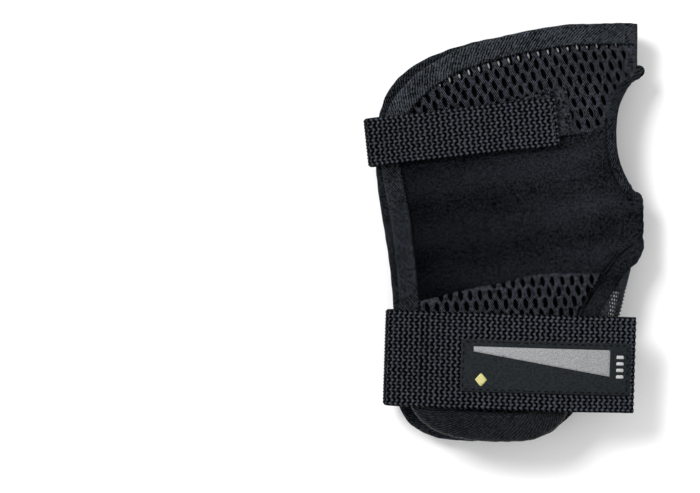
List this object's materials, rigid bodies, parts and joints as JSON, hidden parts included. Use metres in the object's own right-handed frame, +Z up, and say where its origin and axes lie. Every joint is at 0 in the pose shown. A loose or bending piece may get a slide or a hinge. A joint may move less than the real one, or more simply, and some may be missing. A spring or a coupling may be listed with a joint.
{
  "type": "wrist guard",
  "caption": "Soft left-hand wrist guard with back and palm stays, thumb hole, mesh panels, bound edges and hook-and-loop hand and wrist straps.",
  "frame": {"origin": "under the middle of the guard, on the surface it lies on palm down", "axes": "+Y from the cuff to the fingers, +X to the thumb, +Z up out of the back of the hand"},
  "size_m": [0.1127, 0.1677, 0.0344],
  "materials": {
    "air_mesh": "black spacer mesh with pointed oval holes",
    "stretch_knit": "matt black stretch knit",
    "binding_tape": "charcoal twill tape, folded over the edges",
    "webbing": "black webbing with a coarse basket weave",
    "hook_tape": "black moulded hook tape",
    "loop_tape": "black brushed loop tape",
    "woven_label": "dark grey woven label with a silver-grey wedge",
    "palm_fabric": "black hard-wearing plain weave",
    "lining_fabric": "dark brushed lining",
    "foam": "foam pad under brushed fabric",
    "splint_plastic": "moulded black nylon with a fine texture",
    "rivet_metal": "black oxide"
  },
  "bodies": {
    "guard": {"back_cuff_binding": "binding_tape", "back_cuff_mesh": "air_mesh", "back_gusset_mesh": "air_mesh", "back_knuckle_mesh": "air_mesh", "back_lining": "lining_fabric", "back_side_binding": "binding_tape", "back_splint": "splint_plastic", "back_splint_pocket": "lining_fabric", "back_stretch_panel": "stretch_knit", "back_thumb_binding": "binding_tape", "back_top_binding": "binding_tape", "gusset_fold_mesh": "air_mesh", "hand_loop_patch": "loop_tape", "hand_strap_base": "webbing", "palm_cuff_binding": "binding_tape", "palm_gusset_mesh": "air_mesh", "palm_pad": "foam", "palm_panel": "palm_fabric", "palm_side_binding": "binding_tape", "palm_splint": "splint_plastic", "palm_top_binding": "binding_tape", "rivet_washer_left": "rivet_metal", "rivet_washer_right": "rivet_metal", "splint_rivet_left": "rivet_metal", "splint_rivet_right": "rivet_metal", "splint_sleeve": "palm_fabric", "thenar_fold": "stretch_knit", "thumb_hole_binding": "binding_tape", "web_binding": "binding_tape", "web_fold": "air_mesh", "wrist_loop_patch": "loop_tape", "wrist_strap_base": "webbing"},
    "hand_strap": {"hand_strap_flap": "webbing", "hand_strap_hook": "hook_tape"},
    "wrist_strap": {"wrist_strap_flap": "webbing", "wrist_strap_hook": "hook_tape", "size_label": "woven_label"}
  },
  "joints": [
    {"name": "hand_strap_peel", "type": "hinge", "parent": "guard", "child": "hand_strap", "pos_m": [-0.0558, 0.0361, 0.01518], "axis": [0.108, -0.9942, 0], "range_deg": [0, 175]},
    {"name": "wrist_strap_peel", "type": "hinge", "parent": "guard", "child": "wrist_strap", "pos_m": [-0.0484, -0.05, 0.01635], "axis": [-0.0314, -0.9995, 0], "range_deg": [0, 175]}
  ]
}
